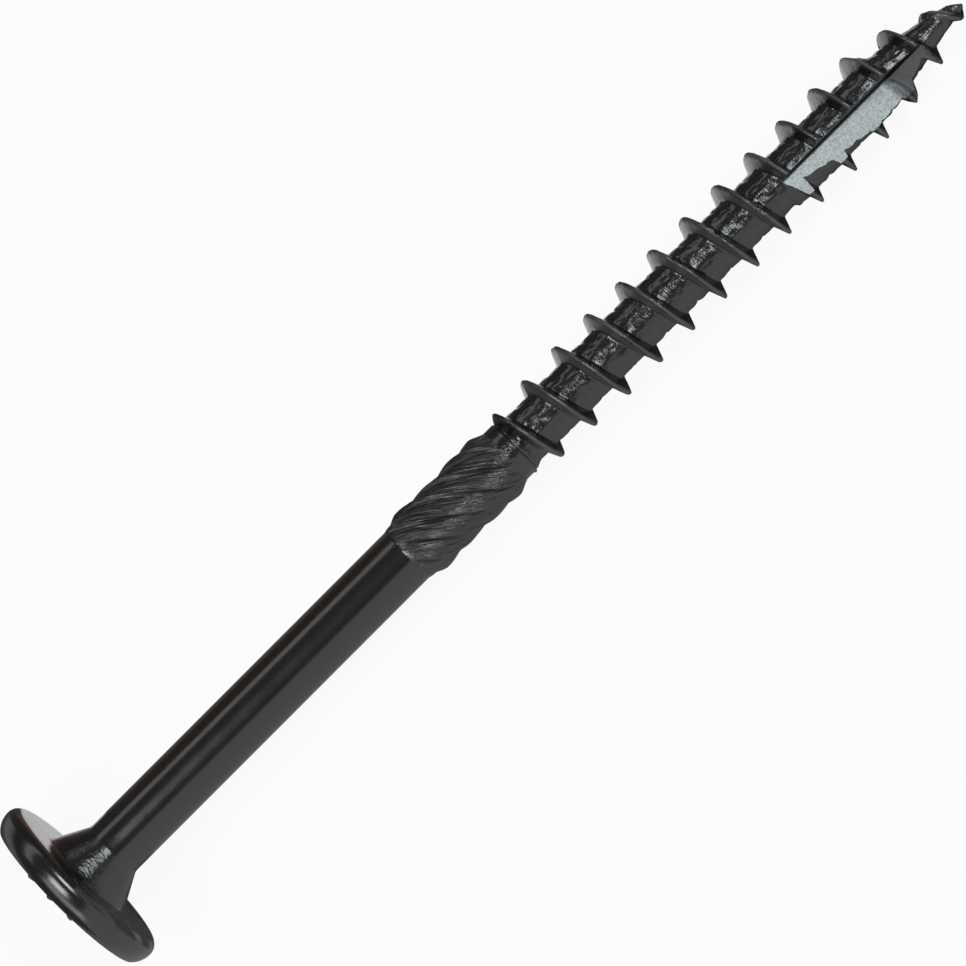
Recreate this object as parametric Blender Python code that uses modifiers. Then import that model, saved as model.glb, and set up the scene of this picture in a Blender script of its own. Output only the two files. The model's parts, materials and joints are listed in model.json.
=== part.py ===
"""A construction screw: wafer head with a six-lobe recess, neck cone, plain shank, milled
section, coarse right-hand thread and a notched point, in one piece of coated steel.

The screw is drawn upright, with the face of its head at height 0 and the tip at the top. +X is
the side that faces up when it lies down, and its stations are heights from the face. At the end it
is laid on the ground, where it rests on the rim of its head and on its thread.
"""

from math import atan2, ceil, cos, pi, radians, sin, sqrt

import bmesh
import bpy
import numpy as np
from mathutils import Matrix

# Overall sizes, in metres
LENGTH = 0.100
THREAD_LENGTH = 0.0501
COLLAR_LENGTH = 0.0012
MILLED_LENGTH = 0.0110

# Head
HEAD_DIAMETER = 0.0160
FACE_DIAMETER = 0.0148
SEAT_DIAMETER = 0.0141
HEAD_THICKNESS = 0.0024
RIM_STATION = 0.0012
NECK_LENGTH = 0.0028

# Six-lobe recess
RECESS_ACROSS_POINTS = 0.00675
RECESS_ACROSS_FLATS = 0.00485
RECESS_LOBE_RADIUS = 0.00055
RECESS_DEPTH = 0.0026
RECESS_LIP = 0.00015
RECESS_CONE_HEIGHT = 0.0007
RECESS_CONE_TIP = 0.0007
RECESS_WALL = 0.00068
RECESS_LOBES = 6

# Raised marks on the face: (angle from the middle one, distance in from the face's edge)
MARK_LENGTH = 0.0017
MARK_WIDTH = 0.0008
MARK_HEIGHT = 0.0003
MARK_DRAFT = 0.00015
MARK_TURN = radians(-8)
MARK_PLACES = (
    (radians(-21), 0.0016),
    (radians(0), 0.0016),
    (radians(21), 0.0016),
    (radians(-90), 0.0019),
    (radians(180), 0.0021),
)

# Shank, collar and the milled section
SHANK_DIAMETER = 0.0050
COLLAR_PAST_THREAD_START = 0.0004
MILLED_RIDGE_HEIGHT = 0.00045
MILLED_GROOVE_DEPTH = 0.00037
MILLED_RUN_OUT = 0.0008
MILLED_LEAD = 0.0213
MILLED_RIDGES = 8
MILLED_ROUNDNESS = 1.5
MILLED_FIRST_CREST = 0.0017

# Thread
THREAD_DIAMETER = 0.0071
CORE_DIAMETER = 0.00434
PITCH = 0.0036
THREAD_ROOT_WIDTH = 0.00115
THREAD_CREST_WIDTH = 0.00024
THREAD_FIRST_CREST = 0.0017
RUN_IN_RAMP = 0.0009
RUN_IN_LENGTH = 0.0095
RUN_IN_HEIGHT = 0.00100

# Point
POINT_LENGTH = 0.0095
POINT_ROUNDNESS = 1.2
TIP_DIAMETER = 0.0010
POINT_THREAD_HEIGHT = 0.0012
POINT_THREAD_START = 0.0075
TIP_THREAD_HEIGHT = 0.0004
FADE_START = 0.0041
FADE_END = 0.0025

# Slash notch: stations are measured back from the tip
NOTCH_NEAR_END = 0.0047
NOTCH_BOTTOM = 0.0100
NOTCH_FAR_END = 0.0202
NOTCH_FLOOR_HEIGHT = 0.0003

# Fineness of the faces
HEAD_FACETS = 48
THREAD_FACETS = 32
ARC_STEPS = 5
RIDGE_STEPS = 6
MILLED_RINGS = 17
MARK_POINTS = 12
LOBE_STEPS = 5
VALLEY_STEPS = 3
OVERLAP = 0.00015
WELD = 1e-7
SHARP_ANGLE = radians(32)

# Heights and radii that follow from the sizes above
THREAD_START = LENGTH - THREAD_LENGTH
COLLAR_END = THREAD_START + COLLAR_PAST_THREAD_START
MILLED_END = COLLAR_END - COLLAR_LENGTH
MILLED_START = MILLED_END - MILLED_LENGTH
SHANK_RADIUS = SHANK_DIAMETER / 2
CORE_RADIUS = CORE_DIAMETER / 2
THREAD_HEIGHT = (THREAD_DIAMETER - CORE_DIAMETER) / 2
NECK_RADIUS = RECESS_ACROSS_POINTS / 2 + RECESS_WALL


def new_collection(name):
    collection = bpy.data.collections.new(name)
    bpy.context.scene.collection.children.link(collection)
    return collection


def as_object(name, bm, collection):
    """Turn a bmesh into an object of the collection, and free it."""
    bmesh.ops.recalc_face_normals(bm, faces=bm.faces)
    mesh = bpy.data.meshes.new(name)
    bm.to_mesh(mesh)
    bm.free()
    obj = bpy.data.objects.new(name, mesh)
    collection.objects.link(obj)
    return obj


def evaluated_copy(obj):
    """The object's mesh with its modifiers applied."""
    graph = bpy.context.evaluated_depsgraph_get()
    return bpy.data.meshes.new_from_object(obj.evaluated_get(graph))


def screwed(points, facets, closed=False, angle=2 * pi, rise=0.0, turns=1):
    """Carry a line of points round the Z axis with a Screw modifier, and weld the result."""
    count = len(points)
    edges = [(i, (i + 1) % count) for i in range(count if closed else count - 1)]
    line = bpy.data.meshes.new("profile")
    line.from_pydata([tuple(p) for p in points], edges, [])
    guide = bpy.data.objects.new("profile", line)
    bpy.context.scene.collection.objects.link(guide)
    screw = guide.modifiers.new("turn", "SCREW")
    screw.angle = angle
    screw.steps = screw.render_steps = facets
    screw.screw_offset = rise
    screw.iterations = turns
    swept = evaluated_copy(guide)
    bpy.data.objects.remove(guide)
    bm = bmesh.new()
    bm.from_mesh(swept)
    bmesh.ops.remove_doubles(bm, verts=bm.verts, dist=WELD)
    return bm


def arc(centre, radii, start, end, steps):
    """Points of an elliptical arc in the plane of a profile, as (radius, height)."""
    angles = np.linspace(start, end, steps)
    return [(centre[0] + radii[0] * cos(a), centre[1] + radii[1] * sin(a)) for a in angles]


def at_angle(profile, angle):
    """A profile's (radius, height) points placed at one angle round the Z axis."""
    return [(r * cos(angle), r * sin(angle), z) for r, z in profile]


def fill_ends(bm):
    """Close each open loop with one face."""
    rim = [edge for edge in bm.edges if edge.is_boundary]
    bmesh.ops.holes_fill(bm, edges=rim, sides=0)


def head_and_shank(collection):
    """The turned body: face, rounded rim, seat, neck cone, shank, collar and a stub of the core."""
    face, rim, seat = FACE_DIAMETER / 2, HEAD_DIAMETER / 2, SEAT_DIAMETER / 2
    stub_radius = min(CORE_RADIUS, SHANK_RADIUS) - OVERLAP
    lower_rim = arc(
        (seat, RIM_STATION), (rim - seat, HEAD_THICKNESS - RIM_STATION), pi / 2, 0, ARC_STEPS
    )
    # The round upper rim meets the face at a crisp edge
    bulge = rim - face
    round_radius = (bulge**2 + RIM_STATION**2) / (2 * bulge)
    swing = atan2(RIM_STATION, round_radius - bulge)
    middle = (rim - round_radius, RIM_STATION)
    upper_rim = arc(middle, (round_radius, round_radius), 0, -swing, ARC_STEPS)
    profile = [
        (0, THREAD_START + PITCH),
        (stub_radius, THREAD_START + PITCH),
        (stub_radius, COLLAR_END + SHANK_RADIUS - stub_radius),
        (SHANK_RADIUS, COLLAR_END),
        (SHANK_RADIUS, HEAD_THICKNESS + NECK_LENGTH),
        (NECK_RADIUS, HEAD_THICKNESS),
        *lower_rim,
        *upper_rim[1:],
        (0, 0),
    ]
    # Half a facet round, so that a flat faces the ground and not a corner
    bm = screwed(at_angle(profile, pi / HEAD_FACETS), HEAD_FACETS)
    return as_object("turned_body", bm, collection)


def milled_radius(phase):
    """Rounded ridges with rounded grooves between them, over a phase of one for each ridge."""
    valley = SHANK_RADIUS + MILLED_RIDGE_HEIGHT - MILLED_GROOVE_DEPTH
    return valley + MILLED_GROOVE_DEPTH * abs(sin(pi * phase)) ** MILLED_ROUNDNESS


def milled_section(collection):
    """Steep helical ridges: a scalloped outline carried up the axis while it turns."""
    count = MILLED_RIDGES * RIDGE_STEPS
    twist = 2 * pi * MILLED_LENGTH / MILLED_LEAD
    first = -pi / 2 - pi / MILLED_RIDGES - MILLED_FIRST_CREST * 2 * pi / MILLED_LEAD
    outline = []
    for i in range(count):
        angle = first + 2 * pi * i / count
        radius = milled_radius(i / RIDGE_STEPS)
        outline.append((radius * cos(angle), radius * sin(angle), MILLED_START))
    bm = screwed(outline, MILLED_RINGS, closed=True, angle=twist, rise=MILLED_LENGTH)
    fill_ends(bm)
    # Both ends run out into the shank
    for vert in bm.verts:
        from_end = min(vert.co.z - MILLED_START, MILLED_END - vert.co.z)
        share = min(1.0, max(0.0, from_end / MILLED_RUN_OUT))
        radius = vert.co.xy.length
        sunk = SHANK_RADIUS - OVERLAP
        scale = (sunk + (radius - sunk) * sqrt(share)) / radius
        vert.co.x *= scale
        vert.co.y *= scale
    return as_object("milled_ridges", bm, collection)


def core_radius(z):
    """The core is straight, then tapers ever faster to the blunt tip."""
    share = np.clip(1 - (LENGTH - z) / POINT_LENGTH, 0, 1)
    return float(CORE_RADIUS - (CORE_RADIUS - TIP_DIAMETER / 2) * share**POINT_ROUNDNESS)


def thread_share(z):
    """Share of the thread's full height: up a ramp, through the run-in, lower at the point, and
    off at the tip."""
    stations = [
        THREAD_START,
        THREAD_START + RUN_IN_RAMP,
        THREAD_START + RUN_IN_LENGTH,
        LENGTH - POINT_LENGTH,
        LENGTH - POINT_THREAD_START,
        LENGTH - FADE_START,
        LENGTH - FADE_END,
    ]
    heights = [
        OVERLAP,
        RUN_IN_HEIGHT,
        THREAD_HEIGHT,
        THREAD_HEIGHT,
        POINT_THREAD_HEIGHT,
        POINT_THREAD_HEIGHT,
        TIP_THREAD_HEIGHT,
    ]
    return float(np.interp(z, stations, heights)) / THREAD_HEIGHT


def threaded_part(collection):
    """One pitch of core and thread carried up a helix, trimmed level, then tapered at both ends."""
    root, crest = THREAD_ROOT_WIDTH / 2, THREAD_CREST_WIDTH / 2
    top = CORE_RADIUS + THREAD_HEIGHT
    pitch_profile = [
        (CORE_RADIUS, PITCH - root),
        (CORE_RADIUS, root),
        (top, crest),
        (top, -crest),
        (CORE_RADIUS, -root),
    ]
    half_facet = pi / THREAD_FACETS
    spare_turns = 2
    base = THREAD_START + THREAD_FIRST_CREST - PITCH * (spare_turns - half_facet / (2 * pi))
    turns = ceil((LENGTH - base) / PITCH) + spare_turns
    profile = [(r, base + z) for r, z in pitch_profile]
    bm = screwed(at_angle(profile, half_facet), THREAD_FACETS, rise=PITCH, turns=turns)
    for station, upwards in ((THREAD_START, -1), (LENGTH, 1)):
        everything = bm.verts[:] + bm.edges[:] + bm.faces[:]
        bmesh.ops.bisect_plane(
            bm,
            geom=everything,
            dist=WELD,
            plane_co=(0, 0, station),
            plane_no=(0, 0, upwards),
            clear_outer=True,
        )
    fill_ends(bm)
    for vert in bm.verts:
        radius = vert.co.xy.length
        height = (radius - CORE_RADIUS) * thread_share(vert.co.z)
        scale = (core_radius(vert.co.z) + height) / radius
        vert.co.x *= scale
        vert.co.y *= scale
    return as_object("threaded_part", bm, collection)


def star_outline():
    """Six round lobes joined by round valleys, each arc tangent to the next."""
    lobe = RECESS_LOBE_RADIUS
    half = pi / RECESS_LOBES
    lobe_centre = RECESS_ACROSS_POINTS / 2 - lobe
    flat = RECESS_ACROSS_FLATS / 2
    # The valley's radius follows from the distance between the two centres
    valley = lobe**2 - lobe_centre**2 - flat**2 + 2 * lobe_centre * flat * cos(half)
    valley /= 2 * (flat - lobe_centre * cos(half) - lobe)
    valley_centre = flat + valley
    along = valley_centre * cos(half) - lobe_centre
    turn = atan2(valley_centre * sin(half), along)
    spread = turn - half
    points = []
    for i in range(RECESS_LOBES):
        middle = MARK_TURN + half * (2 * i + 1)
        for a in np.linspace(-turn, turn, LOBE_STEPS):
            x, y = lobe_centre + lobe * cos(a), lobe * sin(a)
            points.append((x * cos(middle) - y * sin(middle), x * sin(middle) + y * cos(middle)))
        middle += half
        for a in np.linspace(spread, -spread, VALLEY_STEPS + 2)[1:-1]:
            x, y = valley_centre - valley * cos(a), -valley * sin(a)
            points.append((x * cos(middle) - y * sin(middle), x * sin(middle) + y * cos(middle)))
    return points


def lofted(outline, levels):
    """Copies of an outline at several (height, scale) levels, skinned and closed at both ends."""
    bm = bmesh.new()
    rings = []
    for z, scale in levels:
        rings.append([bm.verts.new((x * scale, y * scale, z)) for x, y in outline])
    for low, high in zip(rings, rings[1:]):
        for i in range(len(outline)):
            j = (i + 1) % len(outline)
            bm.faces.new((low[i], low[j], high[j], high[i]))
    bm.faces.new(rings[0][::-1])
    bm.faces.new(rings[-1])
    return bm


def star_cutter(collection):
    """The recess: a small lip, straight walls and a coned bottom."""
    above = MARK_HEIGHT + RECESS_LIP
    flare = 1 + (above + RECESS_LIP) / (RECESS_ACROSS_POINTS / 2)
    levels = [
        (-above, flare),
        (RECESS_LIP, 1.0),
        (RECESS_DEPTH, 1.0),
        (RECESS_DEPTH + RECESS_CONE_HEIGHT, RECESS_CONE_TIP / RECESS_ACROSS_POINTS),
    ]
    return as_object("star_cutter", lofted(star_outline(), levels), collection)


def raised_marks(collection):
    """Plain oval pips on the face, where such a head carries its marks."""
    bm = bmesh.new()
    for angle, inset in MARK_PLACES:
        outline = []
        for i in range(MARK_POINTS):
            a = 2 * pi * i / MARK_POINTS
            outline.append((MARK_LENGTH / 2 * cos(a), MARK_WIDTH / 2 * sin(a)))
        drafted = 1 - MARK_DRAFT / (MARK_WIDTH / 2)
        mark = lofted(outline, [(-MARK_HEIGHT, drafted), (OVERLAP, 1.0)])
        outwards = Matrix.Translation((FACE_DIAMETER / 2 - inset, 0, 0))
        place = Matrix.Rotation(MARK_TURN + angle, 4, "Z") @ outwards
        bmesh.ops.transform(mark, matrix=place, verts=mark.verts)
        loose = bpy.data.meshes.new("mark")
        mark.to_mesh(loose)
        mark.free()
        bm.from_mesh(loose)
        bpy.data.meshes.remove(loose)
    return as_object("raised_marks", bm, collection)


def notch_cutter(collection):
    """The slash notch: a wedge with one wall through the axis and a floor that dips and rises."""
    outside = THREAD_DIAMETER
    near, far = LENGTH - NOTCH_NEAR_END, LENGTH - NOTCH_FAR_END
    side_view = [
        (core_radius(far), far),
        (NOTCH_FLOOR_HEIGHT, LENGTH - NOTCH_BOTTOM),
        (core_radius(near), near),
        (outside, near),
        (outside, far),
    ]
    bm = bmesh.new()
    ring = [bm.verts.new((x, 0, z)) for x, z in side_view]
    wedge = bm.faces.new(ring)
    swept = bmesh.ops.extrude_face_region(bm, geom=[wedge])
    moved = [item for item in swept["geom"] if isinstance(item, bmesh.types.BMVert)]
    bmesh.ops.translate(bm, vec=(0, outside, 0), verts=moved)
    return as_object("notch_cutter", bm, collection)


def add_boolean(obj, operation, other):
    modifier = obj.modifiers.new(other.name, "BOOLEAN")
    modifier.operation = operation
    modifier.solver = "EXACT"
    modifier.object = other


def coated_steel():
    material = bpy.data.materials.new("black_coated_steel")
    material.use_nodes = True
    shader = material.node_tree.nodes["Principled BSDF"]
    shader.inputs["Base Color"].default_value = (0.045, 0.045, 0.050, 1.0)
    shader.inputs["Metallic"].default_value = 0.6
    shader.inputs["Roughness"].default_value = 0.33
    return material


def hull_edge(points):
    """The edge of the lower hull of (along, up) points that spans the middle of their length."""
    points = points[np.lexsort((points[:, 1], points[:, 0]))]
    hull = []
    for p in points:
        while len(hull) > 1:
            a, b = hull[-2], hull[-1]
            if (b[0] - a[0]) * (p[1] - a[1]) - (b[1] - a[1]) * (p[0] - a[0]) > 0:
                break
            hull.pop()
        hull.append(p)
    middle = (points[0, 0] + points[-1, 0]) / 2
    for a, b in zip(hull, hull[1:]):
        if a[0] <= middle <= b[0]:
            return a, b


def lay_down(obj):
    """Turn the screw on its side, where the rim of the head and the thread touch the ground."""
    co = np.empty(len(obj.data.vertices) * 3)
    obj.data.vertices.foreach_get("co", co)
    co = co.reshape(-1, 3)
    rim, crest = hull_edge(co[:, [2, 0]])
    tilt = atan2(crest[1] - rim[1], crest[0] - rim[0])
    obj.rotation_euler = (0, -(pi / 2 + tilt), pi)
    turned = co @ np.array(obj.rotation_euler.to_matrix()).T
    low, high = turned.min(axis=0), turned.max(axis=0)
    obj.location = (-(low[0] + high[0]) / 2, -(low[1] + high[1]) / 2, -low[2])


for existing in list(bpy.data.objects):
    bpy.data.objects.remove(existing)

parts = new_collection("construction_screw")
tools = new_collection("cutters")
tools.hide_render = True

blank = head_and_shank(tools)
add_boolean(blank, "UNION", milled_section(tools))
add_boolean(blank, "UNION", threaded_part(tools))
add_boolean(blank, "UNION", raised_marks(tools))
add_boolean(blank, "DIFFERENCE", star_cutter(tools))
add_boolean(blank, "DIFFERENCE", notch_cutter(tools))
for tool in tools.objects:
    tool.hide_render = True
    tool.display_type = "WIRE"

finished = evaluated_copy(blank)
finished.name = "construction_screw"
finished.materials.clear()
finished.materials.append(coated_steel())
finished.shade_smooth()
finished.set_sharp_from_angle(angle=SHARP_ANGLE)
screw = bpy.data.objects.new("construction_screw", finished)
parts.objects.link(screw)
lay_down(screw)
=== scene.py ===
import json
from math import atan2, cos, pi, radians, sin, sqrt

import bmesh
import bpy
import numpy as np
from mathutils import Matrix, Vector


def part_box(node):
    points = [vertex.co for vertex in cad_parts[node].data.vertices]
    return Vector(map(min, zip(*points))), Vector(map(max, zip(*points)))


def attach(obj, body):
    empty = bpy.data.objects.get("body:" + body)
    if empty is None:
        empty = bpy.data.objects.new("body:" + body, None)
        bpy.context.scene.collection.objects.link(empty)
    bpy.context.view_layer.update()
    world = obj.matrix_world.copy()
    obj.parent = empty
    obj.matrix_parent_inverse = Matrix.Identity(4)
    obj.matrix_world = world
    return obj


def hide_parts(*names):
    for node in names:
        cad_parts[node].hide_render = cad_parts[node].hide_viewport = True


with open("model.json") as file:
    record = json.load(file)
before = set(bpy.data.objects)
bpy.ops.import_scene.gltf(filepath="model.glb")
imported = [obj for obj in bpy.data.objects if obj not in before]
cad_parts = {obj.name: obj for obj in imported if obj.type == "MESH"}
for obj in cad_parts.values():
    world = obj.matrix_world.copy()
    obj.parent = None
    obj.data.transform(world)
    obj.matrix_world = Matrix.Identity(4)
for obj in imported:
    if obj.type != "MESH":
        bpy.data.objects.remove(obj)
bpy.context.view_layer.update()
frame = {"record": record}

# How the screw lies
# A construction screw on its side rests on the rim of its head and on one turn of its thread. The
# shapes below are worked out in millimetres on the screw's own axes: x up, y to the near side and
# z from the face of the head to the tip. These lines find those axes in the frame.
SCREW = "construction_screw"
MM = 0.001
RIM_STATION = 1.2
mounts = {mount["name"]: mount for mount in frame["record"]["mounts"]}
to_tip = np.array(mounts["seating_face"]["axis"])
upwards = np.array([-to_tip[2], 0.0, to_tip[0]])
sideways = np.cross(to_tip, upwards)
RIM_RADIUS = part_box(SCREW)[1][1] / MM
face_depth = np.dot(mounts["head_face"]["pos_m"], to_tip)
face_height = (RIM_RADIUS * upwards[2] - RIM_STATION * to_tip[2]) * MM
face_centre = np.array([(face_depth - face_height * to_tip[2]) / to_tip[0], 0.0, face_height])


def laid_down(points):
    """Points in millimetres on the screw's axes, as points in metres in the frame: the face's
    centre plus each coordinate times its axis."""
    return face_centre + MM * (points @ np.array([upwards, sideways, to_tip]))


# Head
# A wafer head, upset cold from the wire, with a rounded rim, a flat seat under it, a cone down to
# the shank, and a six-lobe recess punched into its face.
COLUMNS = 192
HEAD_THICKNESS = 2.33
FACE_RADIUS = 7.38
SEAT_RADIUS = 7.05
RIM_CLEARANCE = 0.015
WIDEST_RADIUS = RIM_RADIUS - RIM_CLEARANCE
WIDEST_STATION = 1.4
NECK_RADIUS = 4.055
SHANK_RADIUS = 2.5
SHANK_START = 5.2
RECESS_TURN = radians(-8)
RECESS_LOBES = 6
LOBE_RADIUS = 0.55
RECESS_POINT_RADIUS = 3.375
RECESS_FLAT_RADIUS = 2.425
RECESS_DEPTH = 2.6
RECESS_CONE = 0.7
RECESS_DRAFT = 0.03
PUNCH_DENT_DEPTH = 0.05
PUNCH_DENT_SIZE = 0.35
PUNCH_DENTS = 80
LIP_RADIUS = 0.16
BURR_HEIGHT = 0.035
# The burr round the recess: how far out from the lip, and the share of its height there
BURR_STEPS = ((0.07, 0.7), (0.15, 1.0), (0.26, 0.6), (0.4, 0.15))
# The fillets at both ends of the cone: how far out and how far down each of their points lies
NECK_FILLET = ((0.1421, 0.01), (0.04, 0.07))
SHANK_FILLET = ((0.02, 0.02), (0.0, 0.25))
MILLED_START = 38.1
MILLED_CREST = 40.0
MILLED_LEAD = 21.3

# The first column of every ring, so that the ridges of the milled section follow the columns
FIRST_ANGLE = 2 * pi * (MILLED_START - MILLED_CREST) / MILLED_LEAD
angles = FIRST_ANGLE + np.arange(COLUMNS) * 2 * pi / COLUMNS


def turned(profile):
    """Rings of a turned shape: each (radius, height) point of the profile at every angle."""
    profile = np.asarray(profile, dtype=float)
    ring = np.stack([np.cos(angles), np.sin(angles), np.ones_like(angles)], axis=-1)
    scale = np.stack([profile[:, 0], profile[:, 0], profile[:, 1]], axis=-1)
    return scale[:, None, :] * ring[None, :, :]


def level(plan, height):
    """A ring from its plan, as complex numbers, and the height of each of its points."""
    return np.stack([plan.real, plan.imag, height + 0 * plan.real], axis=-1)


def dents(across, along, around, seed):
    """Smooth noise from -1 to 1: random values on a square lattice, blended between the four
    corners by smoothstep weights. Across, the lattice closes on itself after a number of cells."""
    long = 512
    table = np.random.default_rng(seed).uniform(-1, 1, (around, long))
    i, j = np.floor(across).astype(int), np.floor(along).astype(int)
    f, g = across - i, along - j
    f, g = f * f * (3 - 2 * f), g * g * (3 - 2 * g)
    near = table[i % around, j % long] * (1 - f) + table[(i + 1) % around, j % long] * f
    far = table[i % around, (j + 1) % long] * (1 - f) + table[(i + 1) % around, (j + 1) % long] * f
    return near * (1 - g) + far * g


def star_outline(count):
    """The recess in plan as complex numbers: lobe arcs and valley arcs, tangent to each other,
    turned to six places and read off at even steps along the outline."""
    half = pi / RECESS_LOBES
    lobe_centre = RECESS_POINT_RADIUS - LOBE_RADIUS
    flat = RECESS_FLAT_RADIUS
    valley = LOBE_RADIUS**2 - lobe_centre**2 - flat**2 + 2 * lobe_centre * flat * cos(half)
    valley /= 2 * (flat - lobe_centre * cos(half) - LOBE_RADIUS)
    valley_centre = flat + valley
    turn = atan2(valley_centre * sin(half), valley_centre * cos(half) - lobe_centre)
    steps = 200
    swing = np.linspace(0, turn - half, steps)
    rising = valley_centre - valley * np.exp(1j * swing[::-1])
    lobe = lobe_centre + LOBE_RADIUS * np.exp(1j * np.linspace(-turn, turn, steps))
    falling = valley_centre - valley * np.exp(-1j * swing)
    one = np.concatenate([
        rising.conj()[::-1] * np.exp(-1j * half),
        lobe[1:],
        falling.conj()[::-1][1:-1] * np.exp(1j * half),
    ])
    whole = (one[None, :] * np.exp(2j * half * np.arange(RECESS_LOBES))[:, None]).ravel()
    whole = np.append(whole, whole[0])
    length = np.concatenate([[0], np.cumsum(abs(np.diff(whole)))])
    even = np.arange(count) * length[-1] / count
    star = np.interp(even, length, whole.real) + 1j * np.interp(even, length, whole.imag)
    return star * np.exp(1j * (RECESS_TURN + half))


def face_rings():
    """From the middle of the recess outwards: the coned bottom with the punch's dents, the walls,
    the rounded lip and its burr as offsets of the outline along its normals, and the face as a
    blend from there to a circle."""
    star = star_outline(COLUMNS)
    star = np.roll(star, -np.argmin(abs(np.angle(star * np.exp(-1j * FIRST_ANGLE)))))
    normal = np.roll(star, -1) - np.roll(star, 1)
    normal = -1j * normal / abs(normal)
    rings = []
    for share in (0.0, 0.06, 0.14, 0.24, 0.36, 0.5, 0.64, 0.78, 0.88, 0.94):
        plan = share * star
        cell = plan / PUNCH_DENT_SIZE + (1 + 1j) * PUNCH_DENTS / 2
        lumps = PUNCH_DENT_DEPTH * dents(cell.real, cell.imag, PUNCH_DENTS, 3)
        rings.append(level(plan, RECESS_DEPTH + RECESS_CONE * (1 - share) ** 0.8 + lumps * (1 - share**4)))
    for depth in (0.98, 0.93, 0.8, 0.6, 0.4, 0.22, 0.1):
        rings.append(level(star * (1 - RECESS_DRAFT * depth), RECESS_DEPTH * depth))
    for turn in np.linspace(0, pi / 2, 6):
        rings.append(level(star + normal * LIP_RADIUS * (1 - cos(turn)), LIP_RADIUS * (1 - sin(turn))))
    lip = star + normal * LIP_RADIUS
    for step, share in BURR_STEPS:
        rings.append(level(lip + normal * step, -BURR_HEIGHT * share))
    start = lip + normal * BURR_STEPS[-1][0]
    circle = FACE_RADIUS * np.exp(1j * angles)
    for share in np.linspace(0.1, 1.0, 10):
        rings.append(level(start + (circle - start) * share, 0.0))
    return np.array(rings)


def rim_rings():
    """A turned profile. The rim's upper arc meets the face at a crisp edge: its radius is
    (bulge^2 + drop^2) / (2 bulge). A quarter of an ellipse rolls over to the seat, and the cone
    runs down to the shank in a straight line between its two fillets."""
    bulge = WIDEST_RADIUS - FACE_RADIUS
    upper = (bulge**2 + WIDEST_STATION**2) / (2 * bulge)
    profile = []
    for turn in np.linspace(-np.arcsin(WIDEST_STATION / upper), 0, 9)[1:]:
        profile.append((WIDEST_RADIUS - upper + upper * cos(turn), WIDEST_STATION + upper * sin(turn)))
    reach, drop = WIDEST_RADIUS - SEAT_RADIUS, HEAD_THICKNESS - WIDEST_STATION
    for turn in np.linspace(0, pi / 2, 10)[1:]:
        profile.append((SEAT_RADIUS + reach * cos(turn), WIDEST_STATION + drop * sin(turn)))
    profile += [(radius, HEAD_THICKNESS) for radius in (6.2, 5.2, 4.5)]
    profile += [(NECK_RADIUS + out, HEAD_THICKNESS + down) for out, down in NECK_FILLET]
    inwards, along = SHANK_RADIUS - NECK_RADIUS, SHANK_START - HEAD_THICKNESS
    for share in np.linspace(0.07, 0.95, 8):
        profile.append((NECK_RADIUS + inwards * share, HEAD_THICKNESS + along * share))
    profile += [(SHANK_RADIUS + out, SHANK_START + down) for out, down in SHANK_FILLET]
    return turned(profile)


# Shank
# Plain wire, as drawn, which the machines leave alone between the head and the milled section. It
# shows nothing but the orange peel of its coating.
SHANK_STEP = 2.0


def shank_rings():
    """Rings of one radius, at even steps between the cone and the milled section."""
    stations = np.arange(SHANK_START + 1.5, MILLED_START - 1, SHANK_STEP)
    return turned([(SHANK_RADIUS, station) for station in stations])


# Milled section
# Eight steep ridges rolled into the wire ahead of the thread, which ream the hole for the shank.
# Each climbs a short wall from its groove to its edge and falls gently to the next groove. They
# are lower in the middle, and keep fine score lines from the roll.
MILLED_END = 49.1
MIDDLE_STATION = 43.4
MIDDLE_WIDTH = 2.2
LOWER_MIDDLE = 0.13
RIDGES = 8
RIDGE_EDGE = 2.99
RIDGE_GROOVE = 2.43
RIDGE_WANDER = 0.05
WALL_SHARE = 0.17
SCORES = 3
SCORE_DEPTH = 0.08
SCORE_WANDER = 0.25
ROLL_GRAIN = 0.02
RUN_IN = 1.5
RUN_OUT = 1.1


def bell(distance, width):
    """e^-(distance / width)^2."""
    return np.exp(-((distance / width) ** 2))


def ramp(distance, length):
    """0 before a place, 1 from some length past it, and straight between."""
    return np.clip(distance / length, 0, 1)


def rings_round(radius, around, height):
    """Points at a radius, at an angle round the screw and at a height."""
    return np.stack([radius * np.cos(around), radius * np.sin(around), height + 0 * radius], axis=-1)


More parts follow.
